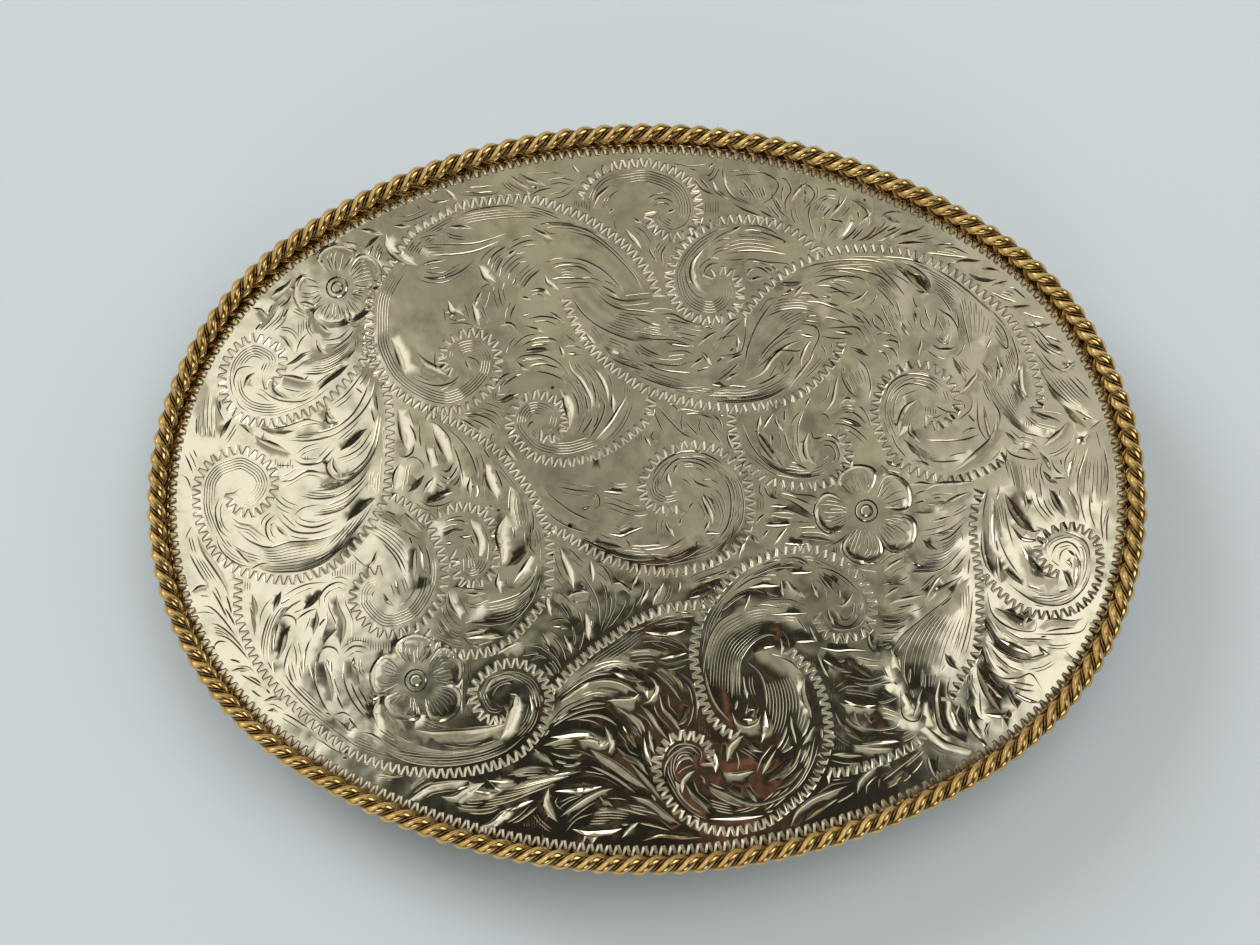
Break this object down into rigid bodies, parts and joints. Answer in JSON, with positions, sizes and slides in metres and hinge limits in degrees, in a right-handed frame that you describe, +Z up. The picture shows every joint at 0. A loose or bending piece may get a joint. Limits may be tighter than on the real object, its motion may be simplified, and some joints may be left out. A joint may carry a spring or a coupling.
{
  "type": "western belt buckle",
  "caption": "Domed oval western belt buckle: an engraved silver-coloured plate with a gold twisted-rope edge, and a wire belt loop and a hook post on its back.",
  "frame": {"origin": "under the middle of the oval, on the surface that the buckle lies on, face up", "axes": "+X along the long axis towards the hook's end, +Y towards the top edge as worn, +Z up out of the face"},
  "size_m": [0.1016, 0.0762, 0.0129],
  "materials": {
    "engraved_silver": "hand engraved and bright cut nickel silver, warm tinted, with light tarnish in the cuts",
    "gold_rope": "polished gold-coloured bronze, dark in the grooves of the twist",
    "back_fittings": "satin nickel silver wire and post"
  },
  "bodies": {
    "root": {"face_plate": "engraved_silver", "rope_edge": "gold_rope", "belt_loop": "back_fittings", "belt_hook": "back_fittings"}
  },
  "joints": []
}
